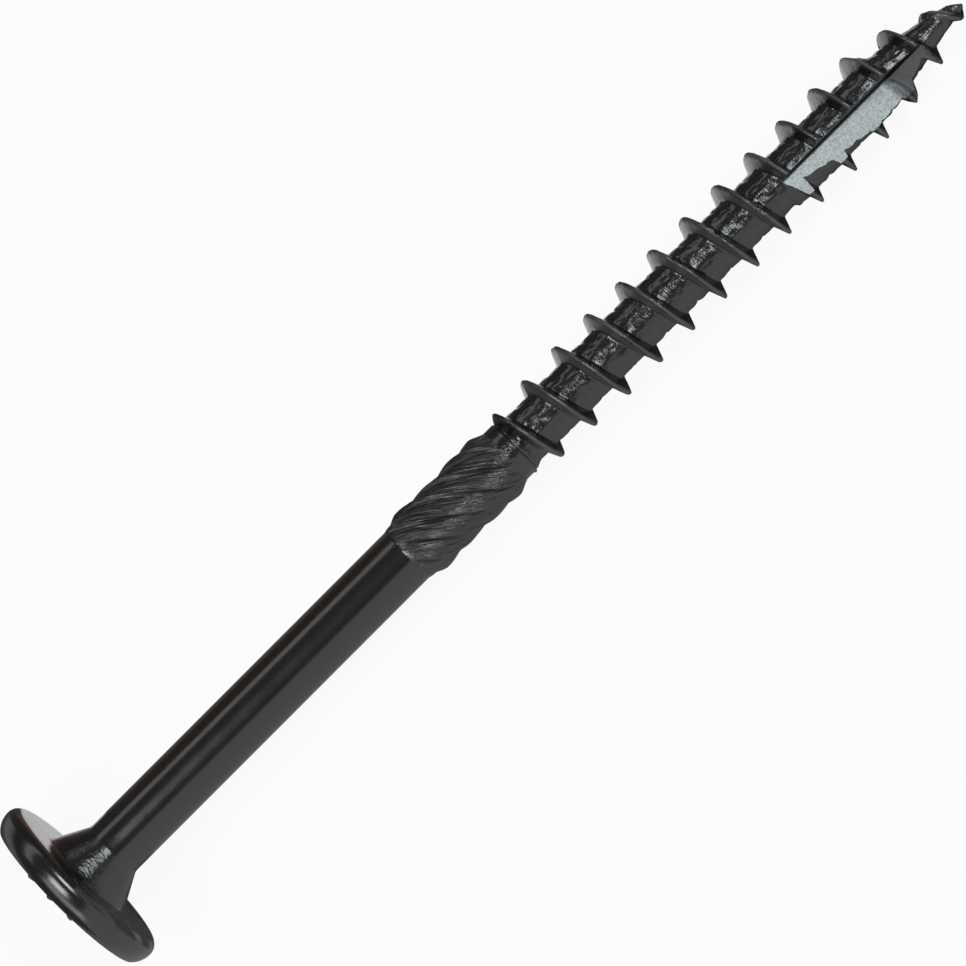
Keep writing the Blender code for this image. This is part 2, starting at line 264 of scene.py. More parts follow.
def milled_rings():
    """Radius = groove + (edge - groove) x height, on rings that turn with the ridges. The height
    climbs by smoothstep over the wall and falls as 1 - share^1.2 over the rest, the edge is lower
    in the middle by a bell, and at both ends the ridges sink into the wire."""
    height = np.concatenate([
        MILLED_START + np.array([-0.5, -0.02, 0.0, 0.03, 0.1, 0.2, 0.3, 0.45, 0.6, 0.8]),
        np.arange(MILLED_START + 1.05, MILLED_END - 0.8, 0.25),
        MILLED_END - np.array([0.8, 0.6, 0.45, 0.3, 0.2, 0.1, 0.03]),
    ])[:, None]
    turn = 2 * pi * np.clip(height - MILLED_START, 0, None) / MILLED_LEAD
    ridge = (angles - FIRST_ANGLE)[None, :] * RIDGES / (2 * pi) + 0 * height
    ridge = ridge - WALL_SHARE + RIDGE_WANDER * dents(ridge, height * 0.4, RIDGES, 11)
    place = 1 - ridge % 1
    climb = ramp(place, WALL_SHARE)
    climb = climb * climb * (3 - 2 * climb)
    share = climb * (1 - ramp(place - WALL_SHARE, 1 - WALL_SHARE) ** 1.2)
    edge = RIDGE_EDGE - LOWER_MIDDLE * bell(height - MIDDLE_STATION, MIDDLE_WIDTH)
    wander = SCORE_WANDER * dents(ridge * 3, height * 0.5, 3 * RIDGES, 12)
    scores = (0.5 + 0.5 * np.cos(2 * pi * (SCORES * place + wander))) ** 3
    deep = SCORE_DEPTH * (0.55 + 0.45 * dents(ridge * 4, height * 0.9, 4 * RIDGES, 13))
    radius = RIDGE_GROOVE + (edge - RIDGE_GROOVE) * share - deep * scores
    radius += ROLL_GRAIN * dents(ridge * 2, height * 1.3, 2 * RIDGES, 14)
    ends = ramp(height - MILLED_START, RUN_IN) * ramp(MILLED_END - height, RUN_OUT)
    radius = SHANK_RADIUS + (radius - SHANK_RADIUS) * ends**0.8
    return rings_round(radius, angles[None, :] + turn, height)


# Collar
# The end of the thick wire: a short collar with a score line round it, a burr on the near side and
# a slope down to the thinner core.
COLLAR_END = 50.3
COLLAR_SLOPE_END = 51.1
COLLAR_STATIONS = (COLLAR_END, COLLAR_END + 0.1, COLLAR_SLOPE_END, COLLAR_SLOPE_END + 0.05)
COLLAR_RADII = (2.5, 2.43, 2.1, 0.0)
SCORE_LINE = 50.26
SCORE_LINE_DEPTH = 0.10
SCORE_LINE_WIDTH = 0.06
BURR_STATION = 50.02
BURR_RISE = 0.15
BURR_WIDTH = 0.1
BURR_SPREAD = 0.3
FAR_SIDE = -pi / 2
NEAR_SIDE = pi / 2

# The columns past the milled section, turned on by its twist
thread_angles = angles + 2 * pi * (MILLED_END - MILLED_START) / MILLED_LEAD


def angle_from(around, middle):
    """The angle from a middle one, from -pi to pi."""
    return (around - middle + pi) % (2 * pi) - pi


def collar_radius(height, around):
    """A straight line through the stations, less a bell for the score line, plus a burr: a bell
    along the screw times a bell round it."""
    score = SCORE_LINE_DEPTH * bell(height - SCORE_LINE, SCORE_LINE_WIDTH)
    burr = bell(height - BURR_STATION, BURR_WIDTH) * bell(angle_from(around, NEAR_SIDE), BURR_SPREAD)
    return np.interp(height, COLLAR_STATIONS, COLLAR_RADII) - score + BURR_RISE * burr


# Thread and point
# The coarse right-hand thread is rolled onto the core, which the dies leave dented. It grows over
# its first turns and fades at the blunt, slightly bent tip. Some crests are crushed or chipped.
TIP = 100.0
TIP_ROUND = 0.14
TIP_RADIUS = 0.40
CORE_RADIUS = 2.17
TAPER_START = 90.5
THREAD_RADIUS = 3.53
PITCH = 3.6
FIRST_CREST = 51.54
ROOT_HALF_WIDTH = 0.53
CREST_HALF_WIDTH = 0.13
SOFTNESS = 0.11
FULL_HEIGHT = THREAD_RADIUS - CORE_RADIUS
# Where the thread's height changes, and what it is there: up a ramp, through the run-in, off at
# the tip
THREAD_STATIONS = (49.9, 50.8, 59.4, 90.0, 92.5, 95.9, 97.5, 98.7, 99.3, TIP)
THREAD_HEIGHTS = (0.0, 1.02, FULL_HEIGHT, FULL_HEIGHT, 1.2, 1.2, 0.42, 0.4, 0.55, 0.5)
DENT_DEPTH = 0.045
SEAM_DEPTH = 0.13
SEAM_HALF_WIDTH = 0.26
# Beside the notch the core is pressed out, with a step at the start, and one tooth is worn down
BULGE = 0.33
BULGE_TURN = radians(102)
BULGE_SPREAD = radians(33)
BULGE_STATIONS = (79.4, 79.75, 84.0, 90.5, 93.5)
BULGE_SHARES = (0, 1, 1, 0.8, 0)
BULGE_UNDER_THREAD = 0.45
WORN_DOWN = 0.13
WORN_STATIONS = (79.5, 80.5, 82.5, 83.5)
# Crushed crests: the station and the angle of each
CRUSHED = ((69.6, -0.35), (73.2, -0.1), (76.8, 0.1))
CRUSH_LENGTH = 0.9
CRUSH_SPREAD = 0.28
NICK_DEPTH = 0.012
CHIP_STATION = 90.75
CHIP_DEPTH = 0.45
CHIP_LENGTH = 0.3
CHIP_SPREAD = 0.45
LEDGE_STATION = 90.9
LEDGE_HEIGHT = 0.54
LEDGE_HALF_LENGTH = 0.45
BLUNT_STATION = 92.15
BLUNT_HEIGHT = 0.9
BLUNT_HALF_LENGTH = 0.75
BLUNT_SPREAD = 0.5


def core_radius(height):
    """The core is straight, then falls off to the tip as 1 - share^1.2."""
    share = ramp(height - TAPER_START, TIP - TAPER_START)
    return TIP_RADIUS + (CORE_RADIUS - TIP_RADIUS) * (1 - share**1.2)


def thread_height(height):
    """How far the crest stands above the core: straight lines through its stations."""
    return np.interp(height, THREAD_STATIONS, THREAD_HEIGHTS)


def from_crest(height, around):
    """Distance along the axis from the nearest crest, which climbs one pitch a turn."""
    return (height - FIRST_CREST - PITCH * around / (2 * pi) + PITCH / 2) % PITCH - PITCH / 2


def thread_profile(distance):
    """A wedge from 0 at the root to 1 at the crest, held between both by soft clamps
    (x + sqrt(x^2 + softness^2)) / 2, which round the root and the crest."""
    wedge = (ROOT_HALF_WIDTH - abs(distance)) / (ROOT_HALF_WIDTH - CREST_HALF_WIDTH)
    lifted = (wedge + np.sqrt(wedge**2 + SOFTNESS**2)) / 2
    return 1 - (1 - lifted + np.sqrt((1 - lifted) ** 2 + SOFTNESS**2)) / 2


def dented_core(height, around):
    """The core plus two sizes of dents, less the seam that the dies leave halfway between turns,
    deepest on both sides: a wedge across it times the sine of the angle to the fourth power."""
    cell = around / (2 * pi)
    rough = dents(cell * 26, height / 0.52, 26, 21) + 0.6 * dents(cell * 52, height / 0.27, 52, 22)
    fade = np.clip((TIP - height) / 6, 0.25, 1) * np.clip((height - COLLAR_END) / 0.6, 0.1, 1)
    halfway = PITCH / 2 - abs(from_crest(height, around))
    seam = ramp(SEAM_HALF_WIDTH - halfway, SEAM_HALF_WIDTH) * np.sin(around) ** 4 * ramp(TIP - height, 9)
    seam = seam * (0.75 + 0.25 * dents(cell * 9, height / PITCH, 9, 25))
    return core_radius(height) + DENT_DEPTH * rough * fade - SEAM_DEPTH * seam


def thread_share(height, around):
    """The thread's profile with fine nicks in its crest, less a bell for each crushed place and
    for the chip on the far side. A ledge stays beside the chip, and one tooth is blunt and broad
    on the near side."""
    cell = around / (2 * pi)
    nicks = 1 + NICK_DEPTH * dents(cell * 40, height / PITCH, 40, 23) - NICK_DEPTH
    for station, turn in CRUSHED:
        near = bell(height - station, CRUSH_LENGTH) * bell(angle_from(around, turn), CRUSH_SPREAD)
        nicks = nicks - near * (0.16 + 0.14 * dents(cell * 60, height / 0.3, 60, 24))
    far_side = bell(angle_from(around, FAR_SIDE), CHIP_SPREAD)
    nicks = nicks - CHIP_DEPTH * far_side * bell(height - CHIP_STATION, CHIP_LENGTH)
    beside = ramp(LEDGE_HALF_LENGTH - abs(height - LEDGE_STATION), LEDGE_HALF_LENGTH)
    ledge = LEDGE_HEIGHT * far_side * beside**0.3
    near_side = bell(angle_from(around, NEAR_SIDE), BLUNT_SPREAD)
    rounded = np.clip(1 - ((height - BLUNT_STATION) / BLUNT_HALF_LENGTH) ** 2, 0, 1) ** 0.7
    profile = thread_profile(from_crest(height, around))
    return np.maximum(profile * nicks, np.maximum(ledge, BLUNT_HEIGHT * near_side * rounded))


def threaded_radius(height, around):
    """The largest of the collar, the core plus the bulge, and the thread on top of the core and of
    a part of the bulge. Both the bulge and the worn place are bells round the screw times straight
    lines along it."""
    core = dented_core(height, around)
    beside_notch = bell(angle_from(around, BULGE_TURN), BULGE_SPREAD)
    bulge = BULGE * beside_notch * np.interp(height, BULGE_STATIONS, BULGE_SHARES)
    worn_down = WORN_DOWN * beside_notch * np.interp(height, WORN_STATIONS, (0, 1, 1, 0))
    base = np.maximum(core + bulge, collar_radius(height, around))
    crest = (thread_height(height) - worn_down) * thread_share(height, around)
    return np.maximum(base, core + bulge * BULGE_UNDER_THREAD + crest)


def collar_rings():
    """Level rings of the threaded radius, close together at the score line."""
    stations = [49.1, 49.3, 49.6, 49.85, 49.95, 50.02, 50.1, 50.17, 50.22, 50.26, 50.3, 50.35]
    height, around = np.array(stations)[:, None], thread_angles[None, :]
    return rings_round(threaded_radius(height, around), around, height)


def thread_rings():
    """Rings that climb with the thread: height = row + pitch x turn, clipped to the level planes at
    both ends. Rows lie close together at the crest and the roots."""
    half = np.array([0.06, 0.13, 0.26, 0.42, 0.54, 0.64, 0.76, 0.98, 1.18, 1.39, 1.6])
    offsets = np.concatenate([-half[::-1], [0.0], half, [PITCH / 2]])
    around = thread_angles[None, :]
    turns = np.arange(-3, 18)
    first = FIRST_CREST + PITCH * around[0, 0] / (2 * pi)
    rows = (first + PITCH * turns[:, None] + offsets[None, :]).ravel()
    start, end = 50.35, TIP - TIP_ROUND
    rows = rows[(rows > start - PITCH) & (rows < end + PITCH)][:, None]
    height = np.clip(rows + PITCH * (around - around[0, 0]) / (2 * pi), start, end)
    return len(offsets), rings_round(threaded_radius(height, around), around, height)


def tip_rings():
    """The end of the tip: its outline shrinks to the middle along a quarter of a circle."""
    radius = threaded_radius(np.full(COLUMNS, TIP - TIP_ROUND), thread_angles)
    rings = []
    for share in (0.3, 0.6, 0.85, 1.0):
        inset = TIP_ROUND * (1 - sqrt(1 - share**2))
        rings.append(level((radius - inset) * np.exp(1j * thread_angles), TIP - TIP_ROUND * (1 - share)))
    for share in (0.5, 0.0):
        rings.append(rings[3] * [share, share, 1])
    return np.array(rings)


# Skin
# The wire is one piece, so all the rings above are one closed surface. The dies bend the tip a
# little and pinch it off between two slanting planes, to which what stands out is pushed back.
BEND_START = 96.0
BEND = 0.10
# Each plane's normal, to the side and to the tip, and its distance along it
TIP_FACETS = (((-0.781, 0.625), 62.33), ((0.483, 0.875), 87.64))


def cells(grid):
    """The four corners of each cell of a grid of point numbers."""
    corners = np.stack([grid[:-1, :-1], grid[:-1, 1:], grid[1:, 1:], grid[1:, :-1]], axis=-1)
    return corners.reshape(-1, 4).tolist()


def mesh_object(name, points, faces):
    """An object of points and faces, with doubles merged, collapsed faces dropped and all faces
    pointing out."""
    mesh = bpy.data.meshes.new(name)
    mesh.from_pydata(points, [], faces)
    made = bmesh.new()
    made.from_mesh(mesh)
    bmesh.ops.remove_doubles(made, verts=made.verts, dist=1e-4)
    bmesh.ops.recalc_face_normals(made, faces=made.faces)
    made.to_mesh(mesh)
    made.free()
    obj = bpy.data.objects.new(name, mesh)
    bpy.context.scene.collection.objects.link(obj)
    return obj


level_part = np.concatenate([face_rings(), rim_rings(), shank_rings(), milled_rings(), collar_rings()])
rows_per_pitch, thread = thread_rings()
rings = np.concatenate([level_part, thread, tip_rings()])
rings[..., 1] += BEND * ramp(rings[..., 2] - BEND_START, TIP - BEND_START) ** 2
for normal, offset in TIP_FACETS:
    past = np.clip(rings[..., 1:] @ np.array(normal) - offset, 0, None)
    rings[..., 1:] -= past[..., None] * np.array(normal)

# Past the last column a level ring closes on itself, and a climbing one runs into the ring one
# pitch further on
number = np.arange(rings.shape[0] * COLUMNS).reshape(rings.shape[:2])
climbing = len(level_part) + np.arange(len(thread))
partner = np.arange(rings.shape[0])
partner[climbing] = np.minimum(climbing + rows_per_pitch, climbing[-1])
blank_faces = cells(np.concatenate([number, number[partner, :1]], axis=1))
blank = mesh_object("blank", rings.reshape(-1, 3), blank_faces)

# Pips
# Five plain ovals of the head's own steel, struck up from its face by the punch of the recess, in
# the places where such heads carry their marks.

# The angle of each from the middle one, and how far in from the rim it stands
PIP_PLACES = ((radians(-21), 1.6), (0.0, 1.6), (radians(21), 1.6), (radians(-90), 1.9), (pi, 2.1))
PIP_LENGTH = 1.7
PIP_WIDTH = 0.8
PIP_SIDES = 40
# The shoulder from its foot in the head to its flat top: depth, and how far out from the oval
PIP_SHOULDER = (
    (0.2, 0.03), (0.0, 0.03), (-0.03, -0.01), (-0.1, -0.05), (-0.18, -0.07),
    (-0.25, -0.11), (-0.28, -0.17), (-0.29, -0.26), (-0.295, -0.34),
)


def tube(rings):
    """Points and faces of a closed tube: cells between its rings, which close on themselves, and
    one flat face over each end."""
    number = np.arange(rings.shape[0] * rings.shape[1]).reshape(rings.shape[:2])
    ends = [number[0].tolist(), number[-1].tolist()]
    return rings.reshape(-1, 3), cells(np.concatenate([number, number[:, :1]], axis=1)) + ends


def pip_rings(angle, inset):
    """An oval that shrinks along a rounded shoulder while it rises out of the face."""
    swing = np.arange(PIP_SIDES) * 2 * pi / PIP_SIDES
    made = []
    for depth, grow in PIP_SHOULDER:
        plan = (PIP_LENGTH / 2 + grow) * np.cos(swing) + 1j * (PIP_WIDTH / 2 + grow) * np.sin(swing)
        made.append(level((plan + FACE_RADIUS - inset) * np.exp(1j * (RECESS_TURN + angle)), depth))
    return np.array(made)


points, faces = [], []
for angle, inset in PIP_PLACES:
    more_points, more_faces = tube(pip_rings(angle, inset))
    first = len(points) * len(more_points)
    faces += [[first + corner for corner in face] for face in more_faces]
    points.append(more_points)
pips = mesh_object("pips", np.concatenate(points), faces)

# Slash notch
# Cut into the point with a slanting blade, so that the screw bites without a pilot hole. One wall
# stands on the axis over a dark gutter, and the pale floor dips towards the tip and rises again.
NOTCH_START = 79.8
NOTCH_DEEPEST = 90.0
NOTCH_END = 95.3
NOTCH_FLOOR = 0.3
NOTCH_SIDE = 0.08
NOTCH_WIDTH = 2.3
NOTCH_ROOF = 6.0
NOTCH_ROWS = 104
WALL_LEAN = 0.65
ROOF_OVERHANG = 0.3
GUTTER_WIDTH = 0.19
GUTTER_DEPTH = 0.45
GUTTER_STATIONS = (NOTCH_START, NOTCH_START + 1, NOTCH_END - 2.5, NOTCH_END)
REMNANT_TURNS = 11
REMNANT_HEIGHT = 0.42
REMNANT_WIDTH = 0.33
NOTCH_ACROSS = np.concatenate([[0.0, GUTTER_WIDTH / 2], np.linspace(GUTTER_WIDTH, NOTCH_WIDTH, 24)])


def gutter_share(height):
    """How much of the gutter there is: it starts with the notch and runs out before its end."""
    return np.interp(height, GUTTER_STATIONS, (0.1, 1.0, 1.0, 0.1))


def remnant_bell(height, across):
    """A bell across the line of the turn of the thread that the second slope cuts away."""
    climb = PITCH * np.arctan2(across, 0.9) / (2 * pi)
    return bell(height - FIRST_CREST - REMNANT_TURNS * PITCH - climb, REMNANT_WIDTH)


def notch_floor(height, across):
    """Two slopes that meet at the deepest station, with what is left of one turn of the thread
    as a low bell-shaped ridge over the second, and a gutter that deepens towards the wall."""
    stations = (NOTCH_START, NOTCH_DEEPEST, NOTCH_END)
    slopes = np.interp(height, stations, (CORE_RADIUS, NOTCH_FLOOR, float(core_radius(NOTCH_END))))
    gutter = GUTTER_DEPTH * gutter_share(height) * ramp(GUTTER_WIDTH - across, GUTTER_WIDTH)
    return slopes + REMNANT_HEIGHT * remnant_bell(height, across) * ramp(across - 0.15, 0.5) - gutter


def wall_place(height, up):
    """Where the wall stands at some height above the axis: it leans back from the gutter."""
    foot = notch_floor(height, 0 * height)
    return -WALL_LEAN * gutter_share(height) * (up - foot) / (NOTCH_ROOF - foot)


height, across = np.meshgrid(np.linspace(NOTCH_START, NOTCH_END, NOTCH_ROWS), NOTCH_ACROSS, indexing="ij")
floor_points = np.stack([notch_floor(height, across), across, height], axis=-1)
roof_points = floor_points[:, ::-1].copy()
roof_points[..., 0] = NOTCH_ROOF
roof_points[:, -1, 1] = wall_place(height[:, 0], NOTCH_ROOF)
roof_points[:, 0, 1] += ROOF_OVERHANG
shell = np.concatenate([floor_points, roof_points], axis=1)
shell[..., 1] += NOTCH_SIDE
notch = mesh_object("notch", *tube(shell))

# The pips are joined to the face, and the notch is cut out of the point
for tool, operation in ((pips, "UNION"), (notch, "DIFFERENCE")):
    modifier = blank.modifiers.new(tool.name, "BOOLEAN")
    modifier.operation = operation
    modifier.object = tool
finished = bpy.data.meshes.new_from_object(blank.evaluated_get(bpy.context.evaluated_depsgraph_get()))
for tool in (blank, pips, notch):
    bpy.data.objects.remove(tool)

# Screw body
# The finished skin in its place, as one piece. Each of its points carries shares, mostly from 0 to
# 1, that tell the coating where it is turned, milled, threaded, rubbed, worn or cut bare, and where
# it carries painted reflections: on the far side of the ridges, on the upper flanks of the thread and
# on the notch's floor.
SHARP = radians(40)
# How near a point has to be to count as on the seat, on the notch's floor or wall, or beside it
SEAT_LEEWAY = 0.02
FLOOR_LEEWAY = 0.015
WALL_LEEWAY = 0.012
SIDE_LEEWAY = 0.01
CREST_FROM = 0.8
FLANK_FROM = 0.12
FLANK_FADES = (77.0, 82.0)
BARE_SHEEN_ENDS = (90.9, 91.8)
RIM_UNDERSIDE = 1.9
RIDGE_STRETCH = 0.12
# The far side of the ridges is rubbed and carries a painted reflection as a paler coat, the near side
# hardly: places to the side, and shares there
RUB_AND_SHEEN_PLACES = (-2.8, -2.1, -1.0, 0.2, 3.0)
RUB_AND_SHEEN_SHARES = (2.2, 2.2, 1.0, 0.4, 0.4)
# The cone and the collar keep tool marks: stations, and how strong the marks are there
TURNED_STATIONS = (2.3, 2.5, 5.1, 5.3, 49.1, 49.2, 51.0, 51.2)
TURNED_SHARES = (0, 1.5, 1.5, 0, 0, 1.3, 1.3, 0)

co = np.empty(len(finished.vertices) * 3)
finished.vertices.foreach_get("co", co)
co = co.reshape(-1, 3)
up, side, height = co.T
radius, around = np.hypot(up, side), np.arctan2(side, up)
threaded = ramp(height - COLLAR_SLOPE_END, 0.5)
milled = np.minimum(ramp(height - MILLED_START, 0.4), ramp(MILLED_END + 0.1 - height, 0.1))
share = (radius - core_radius(height)) / np.maximum(thread_height(height), 0.2)
crest = ramp(share - CREST_FROM, 0.15) * threaded
# Painted reflection: the head-facing flanks on the upper side of the thread get a paler coat, which fades
# out before the notch
flank = ramp(share - FLANK_FROM, 0.1) * (1 - crest) * threaded * np.clip(2 * np.cos(around), 0, 1)
flank *= (from_crest(height, around) < 0) * np.interp(height, FLANK_FADES, (1.0, 0.0))
under_head = (height > RIM_UNDERSIDE) & (height < HEAD_THICKNESS + SEAT_LEEWAY)
near_seat = under_head & (radius > NECK_RADIUS + 0.1) & (side > 0)
aside = side - NOTCH_SIDE
in_notch = (height > NOTCH_START) & (height < NOTCH_END) & (aside < NOTCH_WIDTH + SIDE_LEEWAY)
on_floor = in_notch & (aside > -SIDE_LEEWAY) & (abs(up - notch_floor(height, aside)) < FLOOR_LEEWAY)
on_wall = in_notch & (aside < SIDE_LEEWAY) & (abs(aside - wall_place(height, up)) < WALL_LEEWAY)
# Partly bare steel, partly a painted reflection: the pale floor of the first slope, fading out just past
# the deepest station
bared = on_floor * ramp(aside, GUTTER_WIDTH) * np.interp(height, BARE_SHEEN_ENDS, (1.0, 0.04))
# Painted highlight: the pale steel colour along the crest of the ridge left of the cut thread
remnant_highlight = on_floor * remnant_bell(height, aside) * np.clip(aside - 0.2, 0, 0.3)
shares = {
    "crest": crest,
    "flank": flank,
    "seat": near_seat,
    "threaded": threaded,
    "turning": np.interp(height, TURNED_STATIONS, TURNED_SHARES),
    "milled": milled,
    # Painted reflection: the rubbed colour is stronger towards the far side, which lightens that side of
    # the ridges
    "rubbed": milled * np.interp(side, RUB_AND_SHEEN_PLACES, RUB_AND_SHEEN_SHARES),
    "bared": np.maximum(bared, remnant_highlight),
    "cut": on_floor | on_wall,
}
for name, values in shares.items():
    finished.attributes.new(name, "FLOAT", "POINT").data.foreach_set("value", values.astype(np.float32))
# The place on a ridge, with the twist taken out, for patterns that are drawn out along the ridges
untwisted = around - 2 * pi * height / MILLED_LEAD
on_ridge = rings_round(radius, untwisted, RIDGE_STRETCH * height)
along_ridge = finished.attributes.new("along_ridge", "FLOAT_VECTOR", "POINT")
along_ridge.data.foreach_set("vector", on_ridge.astype(np.float32).ravel())

finished.vertices.foreach_set("co", laid_down(co).ravel())
finished.update()
finished.shade_smooth()
finished.set_sharp_from_angle(angle=SHARP)
finished.name = "screw_body"
screw_body = bpy.data.objects.new("screw_body", finished)
bpy.context.scene.collection.objects.link(screw_body)
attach(screw_body, "root")
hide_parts(SCREW)

# Coating
# A glossy black coat over the steel: a fine orange peel on the plain parts and a coarser one in the
# thread, rubbed grey on the ridges and crests, sooty under the head, and bare steel in the notch.
# Light is painted in too: a paler coat as painted reflection on the far side of the ridges and on
# the upper flanks, the notch's floor brightened as a painted reflection, and its ridge as a painted
# highlight.
COAT = (0.0015, 0.0015, 0.002, 1)
DUSTY_COAT = (0.0105, 0.0105, 0.011, 1)
RUBBED_AND_SHEEN_COAT = (0.045, 0.05, 0.054, 1)
WORN_COAT = (0.055, 0.055, 0.058, 1)
BARED_STEEL_SHEEN = (0.46, 0.51, 0.53, 1)
DULL_STEEL = (0.27, 0.31, 0.32, 1)
COAT_INDEX = 1.8
RELIEF_DEPTH = 0.00003
# Lumps in a metre of each noise, and in a millimetre of the ones that follow the ridges
PEEL_SCALE = 8500.0
HAMMER_SCALE = 2300.0
MARKS_SCALE = 8000.0
PATCHES_SCALE = 350.0
SPECKLE_SCALE = 5000.0
SMUDGES_SCALE = 900.0
RIDGE_SCORES_SCALE = 4.0
RIDGE_SMEARS_SCALE = 3.0


class Wire:
    """An output socket of a node tree. Sums of wires and numbers add the Math nodes they need."""

    def __init__(self, tree, socket=None):
        self.tree, self.socket = tree, socket

    def node(self, kind, settings=None, inputs=None, output=0):
        """Add a node: its settings first, the two stops of a colour ramp too, then the values or
        wires of its sockets."""
        made = self.tree.nodes.new(kind)
        for name, value in (settings or {}).items():
            if name == "stops":
                for element, (place, grey) in zip(made.color_ramp.elements, value):
                    element.position, element.color = place, (grey, grey, grey, 1)
            else:
                setattr(made, name, value)
        for name, value in (inputs or {}).items():
            if isinstance(value, Wire):
                self.tree.links.new(value.socket, made.inputs[name])
            else:
                made.inputs[name].default_value = value
        return Wire(self.tree, made.outputs[output])

    def share(self, name):
        """One of the shares that the points of the screw carry."""
        return self.node("ShaderNodeAttribute", {"attribute_name": name}, output="Fac")

    def noise(self, scale, detail):
        """Noise at the place that this wire gives."""
        return self.node("ShaderNodeTexNoise", None, {"Vector": self, "Scale": scale, "Detail": detail})

    def stretched(self, x, y, z):
        """The place that this wire gives, scaled along each axis."""
        return self.node("ShaderNodeMapping", None, {"Vector": self, "Scale": (x, y, z)})

    def levels(self, *stops):
        """This value read off a colour ramp with two stops, each a place and a grey."""
        return self.node("ShaderNodeValToRGB", {"stops": stops}, {"Fac": self})

    def between(self, first, second):
        """The colour between two, with this wire as the share of the second."""
        inputs = {"Factor": self, "A": first, "B": second}
        return self.node("ShaderNodeMix", {"data_type": "RGBA"}, inputs, output="Result")

    def maths(self, operation, *others):
        """A Math node on this wire and the others."""
        return self.node("ShaderNodeMath", {"operation": operation}, dict(enumerate((self, *others))))

    def rising(self, start, width):
        """0 before the start, 1 past the width after it."""
        return self.node("ShaderNodeClamp", None, {"Value": (self - start) / width})

    def falling(self, end, width):
        """0 past the end, 1 before the width ahead of it."""
        return self.node("ShaderNodeClamp", None, {"Value": (end - self) / width})

    def __add__(self, other):
        return self.maths("ADD", other)

    __radd__ = __add__

    def __mul__(self, other):
        return self.maths("MULTIPLY", other)

    __rmul__ = __mul__

    def __sub__(self, other):
        return self.maths("SUBTRACT", other)

    def __rsub__(self, other):
        return self * -1 + other

    def __truediv__(self, other):
        return self.maths("DIVIDE", other)


def black_coat():
    """Colours by shares and noises, from the plain coat up to the bare steel. The relief is a sum
    of noises, each as strong as its part of the screw is rough, and the roughness a sum of
    shares."""
    material = bpy.data.materials.new("black_coat")
    material.use_nodes = True
    tree = material.node_tree
    shader = tree.nodes["Principled BSDF"]
    sheet = Wire(tree)
    place = sheet.node("ShaderNodeTexCoord", output="Object")
    along_ridge = sheet.node("ShaderNodeAttribute", {"attribute_name": "along_ridge"}, output="Vector")
    crest, flank, seat, threaded = map(sheet.share, ("crest", "flank", "seat", "threaded"))
    turning, milled, rubbed = map(sheet.share, ("turning", "milled", "rubbed"))
    bared, cut = map(sheet.share, ("bared", "cut"))

    peel = place.noise(PEEL_SCALE, 2.0)
    hammer = place.noise(HAMMER_SCALE, 3.0)
    marks = place.stretched(1.0, 0.3, 0.3).noise(MARKS_SCALE, 2.0)
    scores = along_ridge.noise(RIDGE_SCORES_SCALE, 3.0)
    hammered = threaded * (1 - cut)
    relief = peel * (0.16 + cut * 0.9) + hammer * (hammered * 0.4 + milled * 1.2)
    relief = relief + marks * (hammered * 1.1 + turning + cut * 0.8) + (scores - 0.5) * milled * 8.0
    bump = {"Height": relief, "Strength": 1.0, "Distance": RELIEF_DEPTH}
    bump = sheet.node("ShaderNodeBump", None, bump, output="Normal")
    tree.links.new(bump.socket, shader.inputs["Normal"])

    patches = place.noise(PATCHES_SCALE, 4.0)
    wear = crest * patches.levels((0.35, 0.25), (0.65, 1.0))
    smears = along_ridge.noise(RIDGE_SMEARS_SCALE, 5.0).levels((0.5, 0.0), (0.66, 1.0))
    coat = peel.levels((0.38, 0.0), (0.62, 1.0)).between(COAT, DUSTY_COAT)
    # Rubbed smears plus painted reflection: a paler coat on the far side of the ridges and on the upper
    # flanks of the thread
    coat = (smears * rubbed * 0.7 + flank * 1.1).between(coat, RUBBED_AND_SHEEN_COAT)
    coat = wear.between(coat, WORN_COAT)
    grain = place.noise(SPECKLE_SCALE, 4.0).levels((0.34, 0.0), (0.6, 1.0))
    # Painted reflection: the notch's floor and its ridge are pale steel, brightened to stand in for a
    # lamp's reflection
    colour = bared.between(coat, grain.between(DULL_STEEL, BARED_STEEL_SHEEN))
    tree.links.new(colour.socket, shader.inputs["Base Color"])

    smudges = place.stretched(0.2, 0.2, 1.0).noise(SMUDGES_SCALE, 2.0)
    soot = seat * smudges.levels((0.47, 0.0), (0.5, 1.0))
    rough = 0.15 + patches * 0.08 + threaded * 0.02 + wear * 0.3 + milled * 0.1 + flank * 0.25
    rough = rough + bared * 0.2 + (cut - bared) * 0.35 + soot * 0.6
    tree.links.new(rough.socket, shader.inputs["Roughness"])
    shader.inputs["IOR"].default_value = COAT_INDEX
    return material


finished.materials.clear()
finished.materials.append(black_coat())

# Floor
# A plain white sheet, which keeps a soft shadow of the screw. What the gloss of the screw sees of it
# is painted light and shade: white only in bands that glow as painted lights, painted dark between
# them, a painted brown reflection beyond the far dark band, a painted shadow that darkens the near
# side close to the screw, and painted shade, nearly black, under the near side of the thread.
FLOOR_SIZE = 3.0
FLOOR_GLOW = 0.92
FLOOR_COLOUR = (0.8, 0.8, 0.8, 1)
FLOOR_ROUGHNESS = 0.9
WHITE = (1, 1, 1, 1)
DARK_REFLECTION_COLOUR = (0.085, 0.08, 0.08, 1)
BROWN_REFLECTION_COLOUR = (0.27, 0.165, 0.12, 1)
SHADED_COLOUR = (0.028, 0.025, 0.023, 1)
BROWN_START = 0.004
BROWN_END = 0.016
BROWN_PAST_SHANK = 0.25
NEAR_GLOW = 0.6
NEAR_START = 0.0022
NEAR_START_AT_HEAD = 0.0077
NEAR_START_AT_THREAD = 0.0036
NEAR_SPREAD = 0.0045
FAR_START = 0.0023
HEAD_REACH = 0.0085
HEAD_FAR_START = 0.0125
HEAD_FAR_END = 0.05
